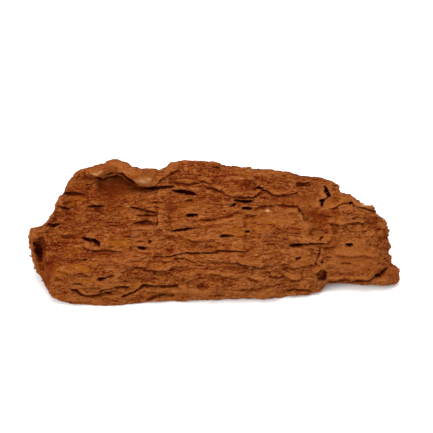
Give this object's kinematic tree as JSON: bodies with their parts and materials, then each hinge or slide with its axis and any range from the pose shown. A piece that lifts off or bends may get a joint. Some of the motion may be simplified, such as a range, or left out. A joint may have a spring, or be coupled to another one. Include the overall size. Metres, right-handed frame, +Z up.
{
  "type": "mangrove root piece",
  "caption": "Weathered, broken piece of root wood with a curled lip, flaked plates along the grain, borer slots, a hollow end and a thin toe; lies flat on its underside.",
  "frame": {"origin": "on the ground plane, under the middle of the piece's bounding box", "axes": "+Z up, grain and length along X with the thin toe at +X and the curled lip at the back of -X, the flaked face turned up and towards -Y"},
  "size_m": [0.3003, 0.1096, 0.0808],
  "materials": {
    "wood": "matt, bare, weathered red-brown wood with open grain"
  },
  "bodies": {
    "root": {"root": "wood"}
  },
  "joints": []
}
